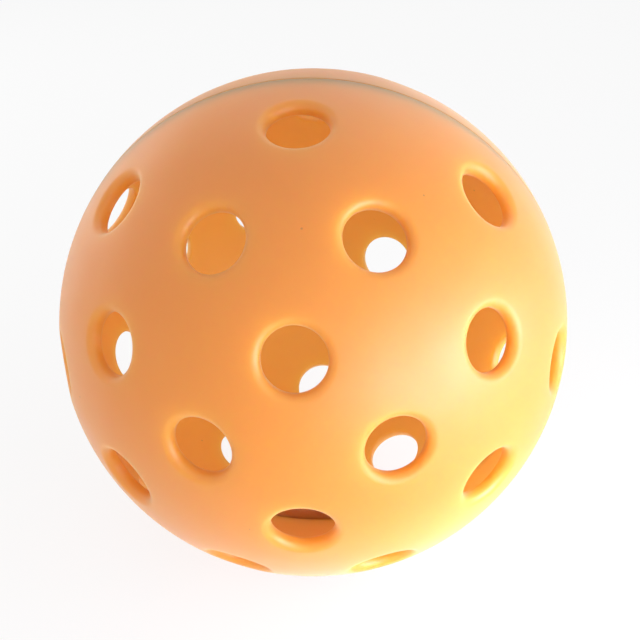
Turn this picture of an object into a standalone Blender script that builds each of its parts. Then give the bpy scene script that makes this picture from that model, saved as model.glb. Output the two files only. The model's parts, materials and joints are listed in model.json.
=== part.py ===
"""Outdoor pickleball: two identical perforated half shells joined by a weld ring.

Units are metres, with +Z up. The origin is the ball's centre. The poles of the two
mouldings lie on the Y axis, the front one at -Y, and the weld lies in the XZ plane.
"""

import math

import bmesh
import bpy
from mathutils import Matrix

# Ball
OUTER_DIAMETER = 0.0740
WALL = 0.0020

# Holes of one half shell: each ring's angle from the pole, its count of holes,
# and whether it starts half a pitch round, so that the rings are staggered.
HOLE_DIAMETER = 0.0083
OUTER_EDGE_RADIUS = 0.0011
INNER_EDGE_RADIUS = 0.0004
HOLE_RINGS = (
    (math.radians(19.8), 4, False),
    (math.radians(46.0), 8, True),
    (math.radians(70.3), 8, False),
)

# How far the rear moulding is turned about the pole axis when it is welded on
REAR_TWIST = math.radians(24.0)

# Weld: a web between the two rims, and a bead of squeezed-out plastic inside
WELD_WEB = 0.0006
BEAD_WIDTH = 0.0026
BEAD_HEIGHT = 0.0008
FIT_GAP = 0.0003

# Fineness of the faceted surfaces
TURN_STEPS = 48
MERIDIAN_STEPS = 11
HOLE_STEPS = 16
OUTER_EDGE_STEPS = 2
INNER_EDGE_STEPS = 1
BEAD_STEPS = 4
MERGE_DISTANCE = 0.00001

# The hole cutters are turned off the shell's meridians, so that no edges coincide,
# and slivers left by the cuts are closed up.
HOLE_FACET_TURN = math.radians(5.0)
SLIVER = 0.00004

# How far a cutter runs past the wall it cuts
CUTTER_MARGIN = 0.0010

OUTER_RADIUS = OUTER_DIAMETER / 2
INNER_RADIUS = OUTER_RADIUS - WALL
HOLE_RADIUS = HOLE_DIAMETER / 2
RIM_OFFSET = WELD_WEB / 2 + FIT_GAP

# Colours are linear RGB
SHELL_ORANGE = (0.80, 0.31, 0.075, 1.0)
WELD_ORANGE = (0.74, 0.27, 0.060, 1.0)
PLASTIC_ROUGHNESS = 0.38


def clear_scene():
    for item in list(bpy.data.objects):
        bpy.data.objects.remove(item, do_unlink=True)


def new_collection(name):
    collection = bpy.data.collections.new(name)
    bpy.context.scene.collection.children.link(collection)
    return collection


def plastic(name, colour):
    """A moulded polyethylene finish: no metal, slightly waxy."""
    material = bpy.data.materials.new(name)
    material.use_nodes = True
    shader = material.node_tree.nodes["Principled BSDF"]
    shader.inputs["Base Color"].default_value = colour
    shader.inputs["Roughness"].default_value = PLASTIC_ROUGHNESS
    shader.inputs["Metallic"].default_value = 0.0
    material.diffuse_color = colour
    return material


def arc(centre_x, centre_z, radius, start, end, steps):
    """Points (x, z) on a circular arc, both ends included; angles are from +X towards +Z."""
    points = []
    for i in range(steps + 1):
        angle = start + (end - start) * i / steps
        points.append((centre_x + radius * math.cos(angle), centre_z + radius * math.sin(angle)))
    return points


def profile_mesh(name, points, closed):
    """An edge-only mesh in the XZ plane, to be turned about Z."""
    vertices = [(x, 0.0, z) for x, z in points]
    edges = [(i, i + 1) for i in range(len(points) - 1)]
    if closed:
        edges.append((len(points) - 1, 0))
    mesh = bpy.data.meshes.new(name)
    mesh.from_pydata(vertices, edges, [])
    return mesh


def add_turn(target, steps):
    """Turn the target's profile about its Z axis."""
    turn = target.modifiers.new("turn", "SCREW")
    turn.axis = "Z"
    turn.steps = steps
    turn.render_steps = steps
    turn.use_merge_vertices = True
    turn.merge_threshold = MERGE_DISTANCE
    turn.use_smooth_shade = True
    return turn


def shell_profile():
    """Half of the shell's section: pole, down the outer side, across the rim, up the inner side."""
    outer_end = math.asin(RIM_OFFSET / OUTER_RADIUS)
    inner_end = math.asin(RIM_OFFSET / INNER_RADIUS)
    outer = arc(0.0, 0.0, OUTER_RADIUS, math.pi / 2, outer_end, MERIDIAN_STEPS)
    inner = arc(0.0, 0.0, INNER_RADIUS, inner_end, math.pi / 2, MERIDIAN_STEPS)
    outer[0] = (0.0, OUTER_RADIUS)
    inner[-1] = (0.0, INNER_RADIUS)
    return outer + inner


def rounded_mouth(wall_radius, edge_radius, side, steps):
    """The rounded edge where the bore meets a spherical wall, from that wall to the bore.

    side is +1 for the outer wall and -1 for the inner wall. The arc's centre lies
    edge_radius inside the material, both from the bore and from the sphere. The last
    chord is drawn on past the wall, so that a cutter crosses the wall at an angle.
    """
    centre_x = HOLE_RADIUS + edge_radius
    centre_distance = wall_radius - side * edge_radius
    centre_z = math.sqrt(centre_distance ** 2 - centre_x ** 2)
    tilt = math.atan2(centre_x, centre_z)
    on_sphere = side * (math.pi / 2) - tilt
    on_bore = side * math.pi
    points = arc(centre_x, centre_z, edge_radius, on_sphere, on_bore, steps)
    (x0, z0), (x1, z1) = points[0], points[1]
    run_on = CUTTER_MARGIN / math.hypot(x0 - x1, z0 - z1)
    points[0] = (x0 + (x0 - x1) * run_on, z0 + (z0 - z1) * run_on)
    return points


def hole_profile():
    """Section of one hole cutter, down its outer side; its axis is a radius of the ball."""
    outer_mouth = rounded_mouth(OUTER_RADIUS, OUTER_EDGE_RADIUS, 1, OUTER_EDGE_STEPS)
    inner_mouth = rounded_mouth(INNER_RADIUS, INNER_EDGE_RADIUS, -1, INNER_EDGE_STEPS)
    inner_mouth.reverse()
    top = max(outer_mouth[0][1], OUTER_RADIUS) + CUTTER_MARGIN
    bottom = inner_mouth[-1][1] - CUTTER_MARGIN
    points = [(0.0, top), (outer_mouth[0][0], top)]
    points += outer_mouth + inner_mouth
    points += [(inner_mouth[-1][0], bottom), (0.0, bottom)]
    return points


def hole_axes():
    """One turn for each hole, from the pole's direction to the hole's."""
    turns = []
    facet_turn = Matrix.Rotation(HOLE_FACET_TURN, 4, "Z")
    for from_pole, count, half_pitch in HOLE_RINGS:
        pitch = 2 * math.pi / count
        for i in range(count):
            around = pitch * (i + (0.5 if half_pitch else 0.0))
            lean = Matrix.Rotation(from_pole, 4, "Y")
            turns.append(Matrix.Rotation(around, 4, "Z") @ lean @ facet_turn)
    return turns


def hole_cutter_mesh():
    """All the hole cutters of one half shell as one mesh."""
    template = bpy.data.objects.new("hole_template", profile_mesh("hole_profile", hole_profile(), False))
    bpy.context.scene.collection.objects.link(template)
    add_turn(template, HOLE_STEPS)
    depsgraph = bpy.context.evaluated_depsgraph_get()
    one_hole = bpy.data.meshes.new_from_object(template.evaluated_get(depsgraph))
    bpy.data.objects.remove(template, do_unlink=True)

    body = bmesh.new()
    for turn in hole_axes():
        first_new = len(body.verts)
        body.from_mesh(one_hole)
        body.verts.ensure_lookup_table()
        bmesh.ops.transform(body, matrix=turn, verts=body.verts[first_new:])
    mesh = bpy.data.meshes.new("hole_cutters")
    body.to_mesh(mesh)
    body.free()
    bpy.data.meshes.remove(one_hole)
    return mesh


def add_half_shell(name, profile, cutters, rotation, parts, guides):
    """One half shell with its pole turned out along the Y axis, cut by its own set of hole cutters."""
    shell = bpy.data.objects.new(name, profile)
    shell.rotation_euler = rotation
    parts.objects.link(shell)
    add_turn(shell, TURN_STEPS)

    holes = bpy.data.objects.new(name + "_holes", cutters)
    holes.parent = shell
    holes.hide_render = True
    holes.display_type = "WIRE"
    guides.objects.link(holes)

    cut = shell.modifiers.new("holes", "BOOLEAN")
    cut.operation = "DIFFERENCE"
    cut.solver = "EXACT"
    cut.object = holes

    clean = shell.modifiers.new("close_slivers", "WELD")
    clean.merge_threshold = SLIVER

    shell.data.materials.clear()
    shell.data.materials.append(plastic("shell_plastic", SHELL_ORANGE))
    return shell


def weld_profile():
    """Section of the weld ring: the web's outer edge first, then down, in and round the bead."""
    bead_outer = math.sqrt(INNER_RADIUS ** 2 - (BEAD_WIDTH / 2) ** 2) - FIT_GAP
    bead_middle = bead_outer - BEAD_HEIGHT
    half_web = WELD_WEB / 2
    half_bead = BEAD_WIDTH / 2
    points = [(OUTER_RADIUS, half_web), (OUTER_RADIUS, 0.0), (OUTER_RADIUS, -half_web)]
    points.append((bead_outer, -half_web))
    for i in range(BEAD_STEPS + 1):
        angle = -math.pi / 2 + math.pi * i / BEAD_STEPS
        points.append((bead_outer + (bead_middle - bead_outer) * math.cos(angle), half_bead * math.sin(angle)))
    points.append((bead_outer, half_web))
    return points


def add_weld_ring(parts):
    ring = bpy.data.objects.new("weld_ring", profile_mesh("weld_profile", weld_profile(), True))
    ring.rotation_euler = (math.pi / 2, 0.0, 0.0)
    parts.objects.link(ring)
    add_turn(ring, TURN_STEPS)
    ring.data.materials.append(plastic("weld_plastic", WELD_ORANGE))
    return ring


def main():
    clear_scene()
    parts = new_collection("pickleball")
    guides = new_collection("cutters")
    cutters = hole_cutter_mesh()
    profile = profile_mesh("half_shell_profile", shell_profile(), False)
    add_half_shell("front_half_shell", profile, cutters, (math.pi / 2, 0.0, 0.0), parts, guides)
    add_half_shell("rear_half_shell", profile, cutters, (-math.pi / 2, REAR_TWIST, 0.0), parts, guides)
    add_weld_ring(parts)


main()
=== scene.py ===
"""Visual model of an outdoor pickleball: two perforated polyethylene half shells and their weld.

Units are metres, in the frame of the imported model: the poles of the two mouldings lie on
the Y axis, the front one at -Y, and the weld lies in the XZ plane.
"""

import json
import math

import bmesh
import bpy
from bpy.props import FloatProperty, FloatVectorProperty, IntProperty, PointerProperty
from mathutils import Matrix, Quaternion, Vector

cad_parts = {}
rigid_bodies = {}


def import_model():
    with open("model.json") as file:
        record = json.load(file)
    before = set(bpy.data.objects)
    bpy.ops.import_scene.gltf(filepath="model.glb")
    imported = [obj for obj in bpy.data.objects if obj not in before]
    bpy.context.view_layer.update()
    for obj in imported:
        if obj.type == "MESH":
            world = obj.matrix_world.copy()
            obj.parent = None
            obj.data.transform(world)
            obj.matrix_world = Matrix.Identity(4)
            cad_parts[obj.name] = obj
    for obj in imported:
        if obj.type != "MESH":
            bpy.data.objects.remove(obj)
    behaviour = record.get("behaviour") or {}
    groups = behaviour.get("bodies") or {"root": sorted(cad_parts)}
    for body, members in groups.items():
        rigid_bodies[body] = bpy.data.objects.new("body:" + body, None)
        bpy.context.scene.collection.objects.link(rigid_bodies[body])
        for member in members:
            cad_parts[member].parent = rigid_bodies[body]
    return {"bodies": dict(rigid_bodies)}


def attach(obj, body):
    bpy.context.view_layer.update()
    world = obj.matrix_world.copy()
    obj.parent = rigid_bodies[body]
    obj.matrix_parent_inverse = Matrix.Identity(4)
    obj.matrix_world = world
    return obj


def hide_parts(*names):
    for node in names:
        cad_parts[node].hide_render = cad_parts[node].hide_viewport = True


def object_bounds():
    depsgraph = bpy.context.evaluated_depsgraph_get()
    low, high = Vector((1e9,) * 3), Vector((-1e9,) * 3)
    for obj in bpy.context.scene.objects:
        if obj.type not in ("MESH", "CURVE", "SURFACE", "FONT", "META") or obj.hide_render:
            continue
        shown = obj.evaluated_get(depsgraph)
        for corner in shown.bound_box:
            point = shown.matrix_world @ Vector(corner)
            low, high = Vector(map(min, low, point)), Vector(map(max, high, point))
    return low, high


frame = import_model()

bl_info = {
    "name": "Perforated Court Ball",
    "version": (1, 0, 0),
    "blender": (4, 5, 0),
    "location": "3D View > Sidebar > Court Ball",
    "description": "Builds a hollow perforated plastic ball from two moulded half shells and a weld",
    "category": "Object",
}

CAD_LOW, CAD_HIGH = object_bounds()
CAD_DIAMETER = (CAD_HIGH - CAD_LOW).z
BODY = next(iter(frame["bodies"]))

# Rings of holes on one half shell: how many holes, and how far round each ring starts, in pitches
RING_COUNTS = (4, 8, 8)
RING_STAGGER = (0.0, 0.5, 0.0)

# Rows of faces round an edge: over its outer rounding, down the wall and over its inner rounding
OUTER_ROWS = 8
INNER_ROWS = 4
LAST_ROW = OUTER_ROWS + 1 + INNER_ROWS

# Points closer than this, in metres, are one point
MERGE_DISTANCE = 0.000002

# Open edges below this height, on the unit half sphere, lie along the weld
SEAM_HEIGHT = 0.001

# How far light travels inside the plastic, in metres. The shells' is long, because their
# pigment is thin enough to glow, and the weld's is short, because its bead is narrow.
SHELL_SPREAD = 0.013
WELD_SPREAD = 0.0030

# The weld's section, as shares of its sizes: its web fills this much of the groove between the
# rims, its top is sunk by this much of the rims' rounding, and its bead is this wide and high
WEB_FILL = 0.6
WEB_SINK = 0.4
BEAD_WIDTH_SHARE = 0.93
BEAD_HEIGHT_SHARE = 0.85

# Waves round the bead: how many, where they start and the share of its height that they add
BEAD_WAVES = ((5, 0.7, 0.10), (13, 0.0, 0.07), (29, 2.0, 0.05))

# The bead also sways from side to side: how many waves, where they start and how far
SWAY_WAVES, SWAY_START, SWAY_SHARE = 9, 1.3, 0.06

# The floor's side and the camera's nearest distance, in metres
FLOOR_SIZE = 6.0
CLIP_START = 0.01

# The share of the floor that glows where the camera looks at it
FLOOR_SEEN_GLOW = 0.82

# Each lamp: its name, its azimuth and elevation in degrees, its distance and size in metres,
# and its share of its bank's power
KEY_BANK = (
    ("key_front", (30, -8), 0.20, 0.12, 0.20),
    ("key_middle", (55, -8), 0.20, 0.14, 0.53),
    ("key_side", (80, -8), 0.20, 0.14, 0.27),
)
WASH_PLACE, WASH_DISTANCE, WASH_SIZE = (48, -4), 0.13, 0.12
REAR_BANK = (
    ("rear_high", (180, 50), 0.40, 0.30, 0.33),
    ("rear_left", (-125, 10), 0.40, 0.30, 0.67),
)
WHITE = (1.0, 1.0, 1.0, 1.0)

# Edges of the weld sharper than this keep a crease
CREASE_ANGLE = math.radians(40)


def srgb(code):
    """A linear, opaque RGBA colour from an sRGB hex code."""
    parts = [int(code[i:i + 2], 16) / 255 for i in (0, 2, 4)]
    return tuple(p / 12.92 if p <= 0.04045 else ((p + 0.055) / 1.055) ** 2.4 for p in parts) + (1.0,)


def length(name, description, default):
    """A size that a user may change, shown in the scene's units."""
    return FloatProperty(
        name=name, description=description, default=default, min=0.0, unit="LENGTH", precision=5
    )


def angle(name, description, degrees):
    """An angle that a user may change, given here in degrees."""
    return FloatProperty(
        name=name, description=description, default=math.radians(degrees), subtype="ANGLE"
    )


def colour(name, description, code):
    """A colour that a user may change, given here as an sRGB hex code."""
    return FloatVectorProperty(
        name=name,
        description=description,
        default=srgb(code),
        size=4,
        subtype="COLOR",
        min=0.0,
        max=1.0,
    )


def power(name, description, watts):
    """The power of a bank of lamps, which a user may change."""
    return FloatProperty(name=name, description=description, default=watts, unit="POWER")


def plain_number(name, description, default):
    """A plain number that a user may change."""
    return FloatProperty(name=name, description=description, default=default)


class BallSizes(bpy.types.PropertyGroup):
    """Sizes of the ball and of its holes."""

    outer_diameter: length("Outer diameter", "Diameter over the outer wall", CAD_DIAMETER)
    wall: length("Wall", "Thickness of the moulded wall", 0.0020)
    hole_diameter: length("Hole diameter", "Bore of every hole", 0.0083)
    outer_edge: length("Outer edge radius", "Rounding where a hole meets the outside", 0.0011)
    inner_edge: length("Inner edge radius", "Rounding where a hole meets the inside", 0.0004)
    ring_1: angle("Pole ring", "Angle of the first ring of holes from the pole", 19.8)
    ring_2: angle("Middle ring", "Angle of the second ring of holes from the pole", 46.0)
    ring_3: angle("Weld ring", "Angle of the third ring of holes from the pole", 70.3)
    rear_twist: angle("Rear twist", "Turn of the rear moulding about the pole axis", 24.0)
    seam_gap: length("Seam gap", "Half of the groove left between the two rims", 0.00005)
    seam_edge: length("Seam edge radius", "Rounding of the rims at the weld", 0.00018)
    bead_width: length("Bead width", "Width of the weld bead inside", 0.0026)
    bead_height: length("Bead height", "Height of the weld bead inside", 0.0008)
    divisions: IntProperty(
        name="Divisions",
        description="Faces along a quarter of the ball",
        default=92,
        min=8,
        max=120,
        step=2,
    )
    relax_steps: IntProperty(
        name="Relax steps",
        description="How often the mesh is evened out round the holes",
        default=24,
        min=0,
    )


class BallColours(bpy.types.PropertyGroup):
    """Colours of the plastic."""

    plastic: colour("Plastic", "Body colour of the orange polyethylene", "F8861C")
    plastic_flow: colour("Flow marks", "Slightly deeper tone of the moulding's flow marks", "F27E1A")
    speck: colour("Specks", "Tiny dark inclusions in the pigment", "A8612A")
    weld: colour("Weld", "Plastic that was melted and set again", "F8943A")
    floor: colour("Floor", "Pale surface under the ball", "F4F4F4")


class StageSettings(bpy.types.PropertyGroup):
    """Camera and lamps."""

    azimuth: angle("Azimuth", "Camera's turn round the ball from the front", 4.2)
    elevation: angle("Elevation", "Camera's height above the horizon", 26.9)
    roll: angle("Roll", "Camera's turn about its own line of sight", -2.5)
    distance: length("Distance", "From the camera to the ball's centre", 0.1809)
    lens: plain_number("Focal length", "On a sensor 36 mm wide, in mm", 68.4)
    shift: FloatVectorProperty(
        name="Shift",
        description="Framing, as a share of the picture's side",
        size=2,
        default=(0.0105, 0.0036),
    )
    key_power: power("Key", "Power of the low bank of lamps", 1.08)
    wash_power: power("Wash", "Power of the lamp over the floor", 0.50)
    rear_power: power("Rear", "Power of the lamps behind the ball", 0.36)
    daylight: colour("Daylight", "Slightly cool light of the low bank", "ECF4FF")
    ambient: plain_number("Ambient", "Strength of the room's even light", 0.66)
    underlight: plain_number(
        "Underlight", "Share of the floor that glows like a light table", 0.65
    )


def add_node(tree, kind, inputs=(), **settings):
    """Add one node, set its properties, then set or link its inputs.

    inputs goes by position, or by name if it is a dictionary. A value may be a plain
    value, another node's output, or another node, which stands for its first output.
    """
    node = tree.nodes.new(kind)
    for name, value in settings.items():
        setattr(node, name, value)
    usable = [s for s in node.inputs if s.enabled and not s.is_unavailable]
    for key, value in inputs.items() if isinstance(inputs, dict) else enumerate(inputs):
        socket = usable[key] if isinstance(key, int) else next(s for s in usable if s.name == key)
        if isinstance(value, bpy.types.Node):
            value = next(s for s in value.outputs if s.enabled and not s.is_unavailable)
        if isinstance(value, bpy.types.NodeSocket):
            tree.links.new(value, socket)
        elif value is not None:
            socket.default_value = value
    return node


SHELL_INPUTS = (
    ("Outer Radius", "NodeSocketFloat"),
    ("Wall", "NodeSocketFloat"),
    ("Hole Radius", "NodeSocketFloat"),
    ("Outer Edge Radius", "NodeSocketFloat"),
    ("Inner Edge Radius", "NodeSocketFloat"),
    ("Seam Gap", "NodeSocketFloat"),
    ("Seam Edge Radius", "NodeSocketFloat"),
    ("Ring 1 Angle", "NodeSocketFloat"),
    ("Ring 2 Angle", "NodeSocketFloat"),
    ("Ring 3 Angle", "NodeSocketFloat"),
    ("Divisions", "NodeSocketInt"),
    ("Relax Steps", "NodeSocketInt"),
    ("Placement", "NodeSocketVector"),
    ("Material", "NodeSocketMaterial"),
)

MATH = "ShaderNodeMath"
VECTOR = "ShaderNodeVectorMath"
COMPARE = "FunctionNodeCompare"
BOOLEAN = "FunctionNodeBooleanMath"
SWITCH = "GeometryNodeSwitch"
STORE = "GeometryNodeStoreNamedAttribute"
NAMED = "GeometryNodeInputNamedAttribute"
PLACE = "GeometryNodeSetPosition"
ON_DOMAIN = "GeometryNodeFieldOnDomain"


def hole_axes(tree, given):
    """Points on the unit sphere, one in the middle of every hole of a half shell."""
    joined = add_node(tree, "GeometryNodeJoinGeometry")
    for number, (count, stagger) in enumerate(zip(RING_COUNTS, RING_STAGGER), 1):
        lean = given[f"Ring {number} Angle"]
        across = add_node(tree, MATH, (lean,), operation="SINE")
        along = add_node(tree, MATH, (lean,), operation="COSINE")
        ring = add_node(tree, "GeometryNodeMeshCircle", {"Vertices": count, "Radius": across})
        lift = add_node(tree, "ShaderNodeCombineXYZ", {"Z": along})
        start = (0.0, 0.0, stagger * 2 * math.pi / count)
        moved = add_node(
            tree, "GeometryNodeTransform", {"Geometry": ring, "Translation": lift, "Rotation": start}
        )
        tree.links.new(moved.outputs[0], joined.inputs[0])
    return joined


def half_sphere(tree, given):
    """A unit half sphere of even squares, from a cube's grid that is spread by equal angles."""
    lines = add_node(tree, MATH, (given["Divisions"], 1.0), operation="ADD")
    cube = add_node(
        tree,
        "GeometryNodeMeshCube",
        {"Size": (2.0, 2.0, 2.0), "Vertices X": lines, "Vertices Y": lines, "Vertices Z": lines},
    )
    position = add_node(tree, "GeometryNodeInputPosition")
    eighth = (math.pi / 4,) * 3
    turned = add_node(tree, VECTOR, (position, eighth), operation="MULTIPLY")
    spread = add_node(tree, VECTOR, (turned,), operation="TANGENT")
    unit = add_node(tree, VECTOR, (spread,), operation="NORMALIZE")
    ball = add_node(tree, PLACE, {"Geometry": cube, "Position": unit})
    height = add_node(tree, "ShaderNodeSeparateXYZ", (position,)).outputs["Z"]
    below = add_node(
        tree, COMPARE, {"A": height, "B": 0.0}, data_type="FLOAT", operation="LESS_THAN"
    )
    return add_node(
        tree, "GeometryNodeDeleteGeometry", {"Geometry": ball, "Selection": below}, domain="FACE"
    )


def edge_section(tree, given):
    """Where a point on an open edge belongs, from its row, its edge's axis and its way out from it.

    Every edge is two roundings with a straight wall between them. Round a hole, the wall
    lies at the hole's radius from its axis. Along the weld, it lies just above the seam
    plane, and the axis is the pole's. Each rounding is tangent to its wall and its sphere.
    """
    row = add_node(tree, NAMED, {"Name": "row"}, data_type="INT").outputs[0]
    seam = add_node(tree, NAMED, {"Name": "seam"}, data_type="BOOLEAN").outputs[0]
    axis = add_node(tree, NAMED, {"Name": "axis"}, data_type="FLOAT_VECTOR").outputs[0]
    out = add_node(tree, NAMED, {"Name": "out"}, data_type="FLOAT_VECTOR").outputs[0]

    inner = add_node(
        tree, COMPARE, {"A": row, "B": OUTER_ROWS}, data_type="INT", operation="GREATER_THAN"
    )
    outer_share = add_node(tree, MATH, (row, OUTER_ROWS), operation="DIVIDE")
    inner_row = add_node(tree, MATH, (row, OUTER_ROWS + 1), operation="SUBTRACT")
    inner_share = add_node(tree, MATH, (inner_row, INNER_ROWS), operation="DIVIDE")
    share = add_node(tree, SWITCH, (inner, outer_share, inner_share), input_type="FLOAT")

    hole_edge = add_node(
        tree,
        SWITCH,
        (inner, given["Outer Edge Radius"], given["Inner Edge Radius"]),
        input_type="FLOAT",
    )
    radius = add_node(
        tree, SWITCH, (seam, hole_edge, given["Seam Edge Radius"]), input_type="FLOAT"
    )

    inner_wall = add_node(tree, MATH, (given["Outer Radius"], given["Wall"]), operation="SUBTRACT")
    from_outside = add_node(tree, MATH, (given["Outer Radius"], radius), operation="SUBTRACT")
    from_inside = add_node(tree, MATH, (inner_wall, radius), operation="ADD")
    reach = add_node(tree, SWITCH, (inner, from_outside, from_inside), input_type="FLOAT")

    wall_at = add_node(
        tree, SWITCH, (seam, given["Hole Radius"], given["Seam Gap"]), input_type="FLOAT"
    )
    near = add_node(tree, MATH, (wall_at, radius), operation="ADD")
    reach_squared = add_node(tree, MATH, (reach, reach), operation="MULTIPLY")
    near_squared = add_node(tree, MATH, (near, near), operation="MULTIPLY")
    far_squared = add_node(tree, MATH, (reach_squared, near_squared), operation="SUBTRACT")
    far = add_node(tree, MATH, (far_squared,), operation="SQRT")
    centre_out = add_node(tree, SWITCH, (seam, near, far), input_type="FLOAT")
    centre_up = add_node(tree, SWITCH, (seam, far, near), input_type="FLOAT")

    aim = add_node(tree, MATH, (centre_up, centre_out), operation="ARCTAN2")
    wall_angle = add_node(tree, SWITCH, (seam, math.pi, -math.pi / 2), input_type="FLOAT")
    half_turn = add_node(tree, SWITCH, (seam, math.pi, -math.pi), input_type="FLOAT")
    back_aim = add_node(tree, MATH, (aim, half_turn), operation="ADD")
    start = add_node(tree, SWITCH, (inner, aim, wall_angle), input_type="FLOAT")
    end = add_node(tree, SWITCH, (inner, wall_angle, back_aim), input_type="FLOAT")
    sweep = add_node(tree, MATH, (end, start), operation="SUBTRACT")
    turn = add_node(tree, MATH, (sweep, share, start), operation="MULTIPLY_ADD")

    cosine = add_node(tree, MATH, (turn,), operation="COSINE")
    sine = add_node(tree, MATH, (turn,), operation="SINE")
    go_out = add_node(tree, MATH, (cosine, radius, centre_out), operation="MULTIPLY_ADD")
    go_up = add_node(tree, MATH, (sine, radius, centre_up), operation="MULTIPLY_ADD")
    outward = add_node(tree, VECTOR, {"Vector": out, "Scale": go_out}, operation="SCALE")
    upward = add_node(tree, VECTOR, {"Vector": axis, "Scale": go_up}, operation="SCALE")
    return add_node(tree, VECTOR, (outward, upward), operation="ADD")


def half_shell_tree():
    """Geometry nodes that make one perforated half shell as a closed body with rounded edges."""
    tree = bpy.data.node_groups.new("perforated_half_shell", "GeometryNodeTree")
    tree.interface.new_socket("Geometry", in_out="OUTPUT", socket_type="NodeSocketGeometry")
    for name, kind in SHELL_INPUTS:
        tree.interface.new_socket(name, in_out="INPUT", socket_type=kind)
    given = add_node(tree, "NodeGroupInput").outputs
    position = add_node(tree, "GeometryNodeInputPosition")
    unit = add_node(tree, VECTOR, (position,), operation="NORMALIZE")

    # The hole's rounding leaves the outer sphere at this angle from the hole's axis
    edge_out = add_node(
        tree, MATH, (given["Hole Radius"], given["Outer Edge Radius"]), operation="ADD"
    )
    edge_up = add_node(
        tree, MATH, (given["Outer Radius"], given["Outer Edge Radius"]), operation="SUBTRACT"
    )
    ratio = add_node(tree, MATH, (edge_out, edge_up), operation="DIVIDE")
    hole_angle = add_node(tree, MATH, (ratio,), operation="ARCSINE")
    hole_cosine = add_node(tree, MATH, (hole_angle,), operation="COSINE")

    # Open the holes
    axes = hole_axes(tree, given)
    nearest = add_node(
        tree, "GeometryNodeSampleNearest", {"Geometry": axes, "Sample Position": position}
    )
    nearest_axis = add_node(
        tree,
        "GeometryNodeSampleIndex",
        {"Geometry": axes, "Value": position, "Index": nearest},
        data_type="FLOAT_VECTOR",
    )
    closeness = add_node(tree, VECTOR, (unit, nearest_axis), operation="DOT_PRODUCT")
    in_hole = add_node(
        tree,
        COMPARE,
        {"A": closeness, "B": hole_cosine},
        data_type="FLOAT",
        operation="GREATER_THAN",
    )
    dome = half_sphere(tree, given)
    pierced = add_node(
        tree, "GeometryNodeDeleteGeometry", {"Geometry": dome, "Selection": in_hole}, domain="FACE"
    )

    # Note which points lie on an open edge, and that edge's axis and angle from it
    faces_beside = add_node(tree, "GeometryNodeInputMeshEdgeNeighbors")
    one_face = add_node(
        tree, COMPARE, {"A": faces_beside, "B": 1}, data_type="INT", operation="EQUAL"
    )
    on_edge = add_node(tree, ON_DOMAIN, (one_face,), data_type="BOOLEAN", domain="EDGE")
    height = add_node(tree, "ShaderNodeSeparateXYZ", (position,)).outputs["Z"]
    low = add_node(
        tree, COMPARE, {"A": height, "B": SEAM_HEIGHT}, data_type="FLOAT", operation="LESS_THAN"
    )
    on_seam = add_node(tree, BOOLEAN, (on_edge, low), operation="AND")
    pole = (0.0, 0.0, 1.0)
    own_axis = add_node(tree, SWITCH, (on_seam, nearest_axis, pole), input_type="VECTOR")
    own_angle = add_node(tree, SWITCH, (on_seam, hole_angle, math.pi / 2), input_type="FLOAT")
    shape = pierced
    for name, kind, value in (
        ("open", "BOOLEAN", on_edge),
        ("axis", "FLOAT_VECTOR", own_axis),
        ("reach", "FLOAT", own_angle),
        ("seam", "BOOLEAN", on_seam),
    ):
        shape = add_node(
            tree,
            STORE,
            {"Geometry": shape, "Name": name, "Value": value},
            data_type=kind,
            domain="POINT",
        )

    # Even out the squares, while the open edges stay on their circles
    is_open = add_node(tree, NAMED, {"Name": "open"}, data_type="BOOLEAN").outputs[0]
    axis = add_node(tree, NAMED, {"Name": "axis"}, data_type="FLOAT_VECTOR").outputs[0]
    reach = add_node(tree, NAMED, {"Name": "reach"}, data_type="FLOAT").outputs[0]
    along = add_node(tree, VECTOR, (position, axis), operation="DOT_PRODUCT").outputs["Value"]
    shadow = add_node(tree, VECTOR, {"Vector": axis, "Scale": along}, operation="SCALE")
    aside = add_node(tree, VECTOR, (position, shadow), operation="SUBTRACT")
    out = add_node(tree, VECTOR, (aside,), operation="NORMALIZE")
    reach_sine = add_node(tree, MATH, (reach,), operation="SINE")
    reach_cosine = add_node(tree, MATH, (reach,), operation="COSINE")
    sideways = add_node(tree, VECTOR, {"Vector": out, "Scale": reach_sine}, operation="SCALE")
    forwards = add_node(tree, VECTOR, {"Vector": axis, "Scale": reach_cosine}, operation="SCALE")
    on_circle = add_node(tree, VECTOR, (sideways, forwards), operation="ADD")
    blurred = add_node(
        tree,
        "GeometryNodeBlurAttribute",
        {"Value": position, "Iterations": 1},
        data_type="FLOAT_VECTOR",
    )
    smooth = add_node(tree, VECTOR, (blurred,), operation="NORMALIZE")
    start = add_node(tree, "GeometryNodeRepeatInput")
    end = add_node(tree, "GeometryNodeRepeatOutput")
    start.pair_with_output(end)
    tree.links.new(given["Relax Steps"], start.inputs["Iterations"])
    tree.links.new(shape.outputs[0], start.inputs["Geometry"])
    relaxed = add_node(tree, PLACE, {"Geometry": start.outputs["Geometry"], "Position": smooth})
    snapped = add_node(
        tree, PLACE, {"Geometry": relaxed, "Selection": is_open, "Position": on_circle}
    )
    tree.links.new(snapped.outputs[0], end.inputs["Geometry"])
    shape = add_node(
        tree,
        STORE,
        {"Geometry": end.outputs["Geometry"], "Name": "out", "Value": out},
        data_type="FLOAT_VECTOR",
        domain="POINT",
    )

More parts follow.
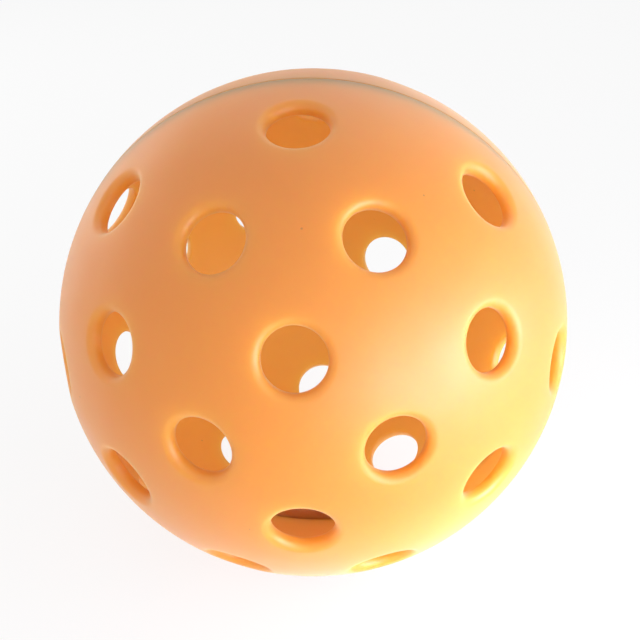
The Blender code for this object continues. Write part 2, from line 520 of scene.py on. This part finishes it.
    # Outer surface, with rows of faces drawn from every open edge round to the inside
    section = edge_section(tree, given)
    first_row = add_node(tree, SWITCH, (is_open, -1, 0), input_type="INT")
    outer = add_node(
        tree,
        STORE,
        {"Geometry": shape, "Name": "row", "Value": first_row},
        data_type="INT",
        domain="POINT",
    )
    outer_place = add_node(
        tree, VECTOR, {"Vector": unit, "Scale": given["Outer Radius"]}, operation="SCALE"
    )
    outer = add_node(tree, PLACE, {"Geometry": outer, "Position": outer_place})
    row = add_node(tree, NAMED, {"Name": "row"}, data_type="INT").outputs[0]
    start = add_node(tree, "GeometryNodeRepeatInput")
    end = add_node(tree, "GeometryNodeRepeatOutput")
    start.pair_with_output(end)
    start.inputs["Iterations"].default_value = LAST_ROW
    tree.links.new(outer.outputs[0], start.inputs["Geometry"])
    count = start.outputs["Iteration"]
    this_row = add_node(tree, COMPARE, {"A": row, "B": count}, data_type="INT", operation="EQUAL")
    both_ends = add_node(tree, ON_DOMAIN, (this_row,), data_type="BOOLEAN", domain="POINT")
    rim = add_node(tree, BOOLEAN, (one_face, both_ends), operation="AND")
    grown = add_node(
        tree,
        "GeometryNodeExtrudeMesh",
        {"Mesh": start.outputs["Geometry"], "Selection": rim, "Offset Scale": 0.0},
        mode="EDGES",
    )
    next_row = add_node(tree, MATH, (count, 1.0), operation="ADD")
    numbered = add_node(
        tree,
        STORE,
        {
            "Geometry": grown.outputs["Mesh"],
            "Selection": grown.outputs["Top"],
            "Name": "row",
            "Value": next_row,
        },
        data_type="INT",
        domain="POINT",
    )
    tree.links.new(numbered.outputs[0], end.inputs["Geometry"])
    on_row = add_node(tree, COMPARE, {"A": row, "B": 0}, data_type="INT", operation="GREATER_EQUAL")
    outer = add_node(
        tree, PLACE, {"Geometry": end.outputs["Geometry"], "Selection": on_row, "Position": section}
    )

    # Inner surface, whose open edges lie where the last row of the outer one ends
    last_row = add_node(tree, SWITCH, (is_open, -1, LAST_ROW), input_type="INT")
    inner = add_node(
        tree,
        STORE,
        {"Geometry": shape, "Name": "row", "Value": last_row},
        data_type="INT",
        domain="POINT",
    )
    inner_radius = add_node(
        tree, MATH, (given["Outer Radius"], given["Wall"]), operation="SUBTRACT"
    )
    inner_place = add_node(tree, VECTOR, {"Vector": unit, "Scale": inner_radius}, operation="SCALE")
    inner = add_node(tree, PLACE, {"Geometry": inner, "Position": inner_place})
    inner = add_node(tree, PLACE, {"Geometry": inner, "Selection": on_row, "Position": section})
    inner = add_node(tree, "GeometryNodeFlipFaces", {"Mesh": inner})

    joined = add_node(tree, "GeometryNodeJoinGeometry")
    tree.links.new(outer.outputs[0], joined.inputs[0])
    tree.links.new(inner.outputs[0], joined.inputs[0])
    closed = add_node(
        tree, "GeometryNodeMergeByDistance", {"Geometry": joined, "Distance": MERGE_DISTANCE}
    )
    placed = add_node(
        tree, "GeometryNodeTransform", {"Geometry": closed, "Rotation": given["Placement"]}
    )
    plain = add_node(tree, "GeometryNodeSetShadeSmooth", {"Geometry": placed, "Shade Smooth": True})
    plain = add_node(tree, "GeometryNodeRealizeInstances", {"Geometry": plain})
    painted = add_node(
        tree, "GeometryNodeSetMaterial", {"Geometry": plain, "Material": given["Material"]}
    )
    add_node(tree, "NodeGroupOutput", {"Geometry": painted})
    return tree


def new_object(name, data):
    """A new object in the scene, at the origin, that holds a mesh, a lamp or a camera."""
    item = bpy.data.objects.new(name, data)
    bpy.context.scene.collection.objects.link(item)
    return item


def make_from_tree(name, tree, values):
    """Run a geometry-nodes tree on an empty mesh and keep the result as a plain mesh."""
    carrier = new_object(name + "_carrier", bpy.data.meshes.new(name + "_carrier"))
    modifier = carrier.modifiers.new("shape", "NODES")
    modifier.node_group = tree
    for item in tree.interface.items_tree:
        if item.item_type == "SOCKET" and item.in_out == "INPUT":
            modifier[item.identifier] = values[item.name]
    depsgraph = bpy.context.evaluated_depsgraph_get()
    mesh = bpy.data.meshes.new_from_object(carrier.evaluated_get(depsgraph), depsgraph=depsgraph)
    mesh.name = name
    for helper in ("open", "axis", "reach", "seam", "out", "row"):
        if helper in mesh.attributes:
            mesh.attributes.remove(mesh.attributes[helper])
    bpy.data.objects.remove(carrier, do_unlink=True)
    return new_object(name, mesh)


def polyethylene(name, colours, base, spread):
    """Injection-moulded polyethylene: waxy and a little translucent, with a soft, wide sheen.

    Light spreads through the pigment and comes out a little warmer. Faint flow marks, a
    few specks in the pigment and a slight orange peel are all that break the surface.
    spread is how far light travels inside, in metres.
    """
    material = bpy.data.materials.new(name)
    material.use_nodes = True
    tree = material.node_tree
    shader = tree.nodes["Principled BSDF"]
    place = add_node(tree, "ShaderNodeTexCoord").outputs["Object"]

    # Flow marks about 25 mm long across the pole axis and 13 mm wide along it
    stretch = add_node(tree, "ShaderNodeMapping", {"Vector": place, "Scale": (40.0, 75.0, 40.0)})
    flow = add_node(
        tree,
        "ShaderNodeTexNoise",
        {"Vector": stretch, "Scale": 1.0, "Detail": 3.0, "Roughness": 0.55, "Distortion": 0.6},
    )
    flow_share = add_node(
        tree,
        "ShaderNodeMapRange",
        {"Value": flow.outputs["Fac"], "From Min": 0.38, "From Max": 0.72, "To Max": 0.35},
    )
    toned = add_node(
        tree,
        "ShaderNodeMix",
        {"Factor": flow_share, "A": base, "B": colours.plastic_flow},
        data_type="RGBA",
    )

    # Specks about 0.3 mm across, some 6 mm apart
    cells = add_node(
        tree, "ShaderNodeTexVoronoi", {"Vector": place, "Scale": 170.0, "Randomness": 1.0}
    )
    speck_share = add_node(
        tree,
        "ShaderNodeMapRange",
        {
            "Value": cells.outputs["Distance"],
            "From Min": 0.030,
            "From Max": 0.018,
            "To Max": 0.55,
        },
    )
    speckled = add_node(
        tree,
        "ShaderNodeMix",
        {"Factor": speck_share, "A": toned, "B": colours.speck},
        data_type="RGBA",
    )
    tree.links.new(next(s for s in speckled.outputs if s.enabled), shader.inputs["Base Color"])

    # Gloss that wanders a little over patches of about 8 mm
    patches = add_node(tree, "ShaderNodeTexNoise", {"Vector": place, "Scale": 120.0, "Detail": 2.0})
    gloss = add_node(
        tree,
        "ShaderNodeMapRange",
        {
            "Value": patches.outputs["Fac"],
            "From Min": 0.3,
            "From Max": 0.7,
            "To Min": 0.46,
            "To Max": 0.54,
        },
    )
    tree.links.new(gloss.outputs[0], shader.inputs["Roughness"])

    # Orange peel of about 0.8 mm, and a slow unevenness of about 12 mm from shrinkage
    peel = add_node(tree, "ShaderNodeTexNoise", {"Vector": place, "Scale": 1250.0, "Detail": 2.0})
    shrink = add_node(tree, "ShaderNodeTexNoise", {"Vector": place, "Scale": 85.0, "Detail": 1.0})
    slow = add_node(
        tree,
        "ShaderNodeBump",
        {"Height": shrink.outputs["Fac"], "Strength": 1.0, "Distance": 0.00012},
    )
    fine = add_node(
        tree,
        "ShaderNodeBump",
        {"Height": peel.outputs["Fac"], "Normal": slow, "Strength": 1.0, "Distance": 0.000006},
    )
    tree.links.new(fine.outputs[0], shader.inputs["Normal"])

    shader.inputs["IOR"].default_value = 1.50
    shader.inputs["Specular IOR Level"].default_value = 0.75
    shader.inputs["Sheen Weight"].default_value = 0.35
    shader.inputs["Sheen Roughness"].default_value = 0.45
    shader.inputs["Sheen Tint"].default_value = srgb("FFF6E6")
    shader.inputs["Subsurface Weight"].default_value = 1.0
    shader.inputs["Subsurface Radius"].default_value = (1.0, 0.95, 0.90)
    shader.inputs["Subsurface Scale"].default_value = spread
    material.diffuse_color = base
    return material


def finish_piece(piece, node):
    """Hang a finished piece on the ball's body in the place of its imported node."""
    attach(piece, BODY)
    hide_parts(node)


class COURTBALL_OT_half_shells(bpy.types.Operator):
    """Make the two perforated half shells"""

    bl_idname = "courtball.half_shells"
    bl_label = "Half Shells"

    def execute(self, context):
        sizes = context.scene.courtball_sizes
        colours = context.scene.courtball_colours
        tree = half_shell_tree()
        plastic = polyethylene("moulded_polyethylene", colours, colours.plastic, SHELL_SPREAD)
        quarter = math.pi / 2
        placements = {"front": (quarter, 0.0, 0.0), "rear": (-quarter, sizes.rear_twist, 0.0)}
        for side, rotation in placements.items():
            values = {
                "Outer Radius": sizes.outer_diameter / 2,
                "Wall": sizes.wall,
                "Hole Radius": sizes.hole_diameter / 2,
                "Outer Edge Radius": sizes.outer_edge,
                "Inner Edge Radius": sizes.inner_edge,
                "Seam Gap": sizes.seam_gap,
                "Seam Edge Radius": sizes.seam_edge,
                "Ring 1 Angle": sizes.ring_1,
                "Ring 2 Angle": sizes.ring_2,
                "Ring 3 Angle": sizes.ring_3,
                "Divisions": sizes.divisions,
                "Relax Steps": sizes.relax_steps,
                "Placement": rotation,
                "Material": plastic,
            }
            shell = make_from_tree(side + "_shell", tree, values)
            if not shell.data.polygons:
                raise RuntimeError(f"the {side} shell came out empty")
            finish_piece(shell, side + "_half_shell")
        return {"FINISHED"}


class COURTBALL_OT_weld(bpy.types.Operator):
    """Make the weld's web and its uneven bead"""

    bl_idname = "courtball.weld"
    bl_label = "Weld"

    # Steps round the weld, and faces across the bead
    STEPS = 360
    BEAD_POINTS = 10

    def section(self, sizes, turn):
        """The weld's outline at one place round it.

        Each point is its distance from the pole axis and its height over the seam plane.
        """
        outer = sizes.outer_diameter / 2
        inner = outer - sizes.wall
        half_web = sizes.seam_gap * WEB_FILL
        half_bead = sizes.bead_width / 2
        uneven = sum(share * math.sin(waves * turn + start) for waves, start, share in BEAD_WAVES)
        height = sizes.bead_height * (BEAD_HEIGHT_SHARE + uneven)
        sway = half_bead * SWAY_SHARE * math.sin(SWAY_WAVES * turn + SWAY_START)
        root = math.sqrt(inner ** 2 - half_bead ** 2) - sizes.seam_gap
        top = outer - sizes.seam_edge * WEB_SINK
        points = [(top, half_web), (top, -half_web), (root, -half_web)]
        for i in range(self.BEAD_POINTS + 1):
            a = -math.pi / 2 + math.pi * i / self.BEAD_POINTS
            across = half_bead * BEAD_WIDTH_SHARE * math.sin(a) + sway
            points.append((root - height * math.cos(a), across))
        points.append((root, half_web))
        return points

    def execute(self, context):
        sizes = context.scene.courtball_sizes
        colours = context.scene.courtball_colours
        body = bmesh.new()
        rings = []
        for i in range(self.STEPS):
            turn = 2 * math.pi * i / self.STEPS
            x, z = math.cos(turn), math.sin(turn)
            points = self.section(sizes, turn)
            rings.append([body.verts.new((r * x, y, r * z)) for r, y in points])
        for i, ring in enumerate(rings):
            following = rings[(i + 1) % self.STEPS]
            for j in range(len(ring)):
                k = (j + 1) % len(ring)
                body.faces.new((ring[j], following[j], following[k], ring[k]))
        bmesh.ops.recalc_face_normals(body, faces=body.faces)
        mesh = bpy.data.meshes.new("weld_bead")
        body.to_mesh(mesh)
        body.free()
        mesh.shade_smooth()
        mesh.set_sharp_from_angle(angle=CREASE_ANGLE)
        plastic = polyethylene("reset_polyethylene", colours, colours.weld, WELD_SPREAD)
        mesh.materials.append(plastic)
        finish_piece(new_object("weld_bead", mesh), "weld_ring")
        return {"FINISHED"}


def towards(azimuth, elevation):
    """A direction from its turn from the front towards +X and its elevation, in radians."""
    across = math.cos(elevation)
    return Vector((math.sin(azimuth) * across, -math.cos(azimuth) * across, math.sin(elevation)))


def soft_lamp(name, place, distance, size, watts, tint):
    """A square lamp that faces the ball's centre; place is its azimuth and elevation in degrees."""
    data = bpy.data.lights.new(name, "AREA")
    data.shape = "SQUARE"
    data.size = size
    data.energy = watts
    data.color = tint[:3]
    lamp = new_object(name, data)
    away = towards(*(math.radians(a) for a in place))
    lamp.location = away * distance
    lamp.rotation_mode = "QUATERNION"
    lamp.rotation_quaternion = (-away).to_track_quat("-Z", "Y")
    lamp.visible_camera = False
    return lamp


def seen_directly(tree):
    """1 for what is seen, straight, in gloss or through glass, and 0 for light on a surface."""
    path = add_node(tree, "ShaderNodeLightPath").outputs
    seen = add_node(tree, MATH, (path["Is Camera Ray"], path["Is Glossy Ray"]), operation="MAXIMUM")
    return add_node(tree, MATH, (seen, path["Is Transmission Ray"]), operation="MAXIMUM")


def white_world(ambient):
    """A room that is white to the camera and sheds an even light of its own strength."""
    world = bpy.data.worlds.new("studio")
    bpy.context.scene.world = world
    world.use_nodes = True
    tree = world.node_tree
    background = tree.nodes["Background"]
    background.inputs["Color"].default_value = WHITE
    strength = add_node(
        tree, "ShaderNodeMapRange", {"Value": seen_directly(tree), "To Min": ambient, "To Max": 1.0}
    )
    tree.links.new(strength.outputs[0], background.inputs["Strength"])


def pale_floor(colours, low, underlight):
    """A pale surface that reads as white to the camera and still takes the ball's shadow."""
    bpy.ops.mesh.primitive_plane_add(size=FLOOR_SIZE, location=(0.0, 0.0, low))
    floor = bpy.context.active_object
    floor.name = "floor"
    material = bpy.data.materials.new("pale_paper")
    material.use_nodes = True
    tree = material.node_tree
    paper = tree.nodes["Principled BSDF"]
    paper.inputs["Base Color"].default_value = colours.floor
    paper.inputs["Roughness"].default_value = 0.9
    glow = add_node(tree, "ShaderNodeEmission", {"Color": WHITE, "Strength": 1.0})
    share = add_node(
        tree,
        "ShaderNodeMapRange",
        {"Value": seen_directly(tree), "To Min": underlight, "To Max": FLOOR_SEEN_GLOW},
    )
    mixed = add_node(tree, "ShaderNodeMixShader", (share, paper, glow))
    tree.links.new(mixed.outputs[0], tree.nodes["Material Output"].inputs["Surface"])
    floor.data.materials.append(material)


class COURTBALL_OT_stage(bpy.types.Operator):
    """Set up the camera, the pale floor and the soft lamps"""

    bl_idname = "courtball.stage"
    bl_label = "Stage"

    def execute(self, context):
        stage = context.scene.courtball_stage
        colours = context.scene.courtball_colours
        data = bpy.data.cameras.new("camera")
        data.lens = stage.lens
        data.shift_x, data.shift_y = stage.shift
        camera = new_object("camera", data)
        back = towards(stage.azimuth, stage.elevation)
        upright = (-back).to_track_quat("-Z", "Y")
        camera.rotation_mode = "QUATERNION"
        camera.location = back * stage.distance
        camera.rotation_quaternion = upright @ Quaternion((0.0, 0.0, 1.0), stage.roll)
        data.clip_start = CLIP_START
        context.scene.camera = camera

        pale_floor(colours, CAD_LOW.z, stage.underlight)
        white_world(stage.ambient)
        for name, place, distance, size, share in KEY_BANK:
            soft_lamp(name, place, distance, size, stage.key_power * share, stage.daylight)
        wash = soft_lamp(
            "wash", WASH_PLACE, WASH_DISTANCE, WASH_SIZE, stage.wash_power, stage.daylight
        )
        # The wash faces straight down
        wash.rotation_quaternion = Quaternion()
        for name, place, distance, size, share in REAR_BANK:
            soft_lamp(name, place, distance, size, stage.rear_power * share, WHITE)
        context.scene.view_settings.view_transform = "Standard"
        return {"FINISHED"}


class COURTBALL_PT_panel(bpy.types.Panel):
    """Lists the sizes, the colours and the steps that build the ball"""

    bl_label = "Court Ball"
    bl_idname = "COURTBALL_PT_panel"
    bl_space_type = "VIEW_3D"
    bl_region_type = "UI"
    bl_category = "Court Ball"

    def draw(self, context):
        scene = context.scene
        for group in (scene.courtball_sizes, scene.courtball_colours, scene.courtball_stage):
            box = self.layout.box()
            for name in group.__annotations__:
                box.prop(group, name)
        for operator in OPERATORS:
            self.layout.operator(operator.bl_idname)


GROUPS = {
    "courtball_sizes": BallSizes,
    "courtball_colours": BallColours,
    "courtball_stage": StageSettings,
}
OPERATORS = (COURTBALL_OT_stage, COURTBALL_OT_half_shells, COURTBALL_OT_weld)
CLASSES = (*GROUPS.values(), *OPERATORS, COURTBALL_PT_panel)


def register():
    for item in CLASSES:
        bpy.utils.register_class(item)
    for name, group in GROUPS.items():
        setattr(bpy.types.Scene, name, PointerProperty(type=group))


def unregister():
    for name in GROUPS:
        delattr(bpy.types.Scene, name)
    for item in reversed(CLASSES):
        bpy.utils.unregister_class(item)


def main():
    register()
    bpy.ops.courtball.stage()
    bpy.ops.courtball.half_shells()
    bpy.ops.courtball.weld()


if __name__ == "__main__":
    main()
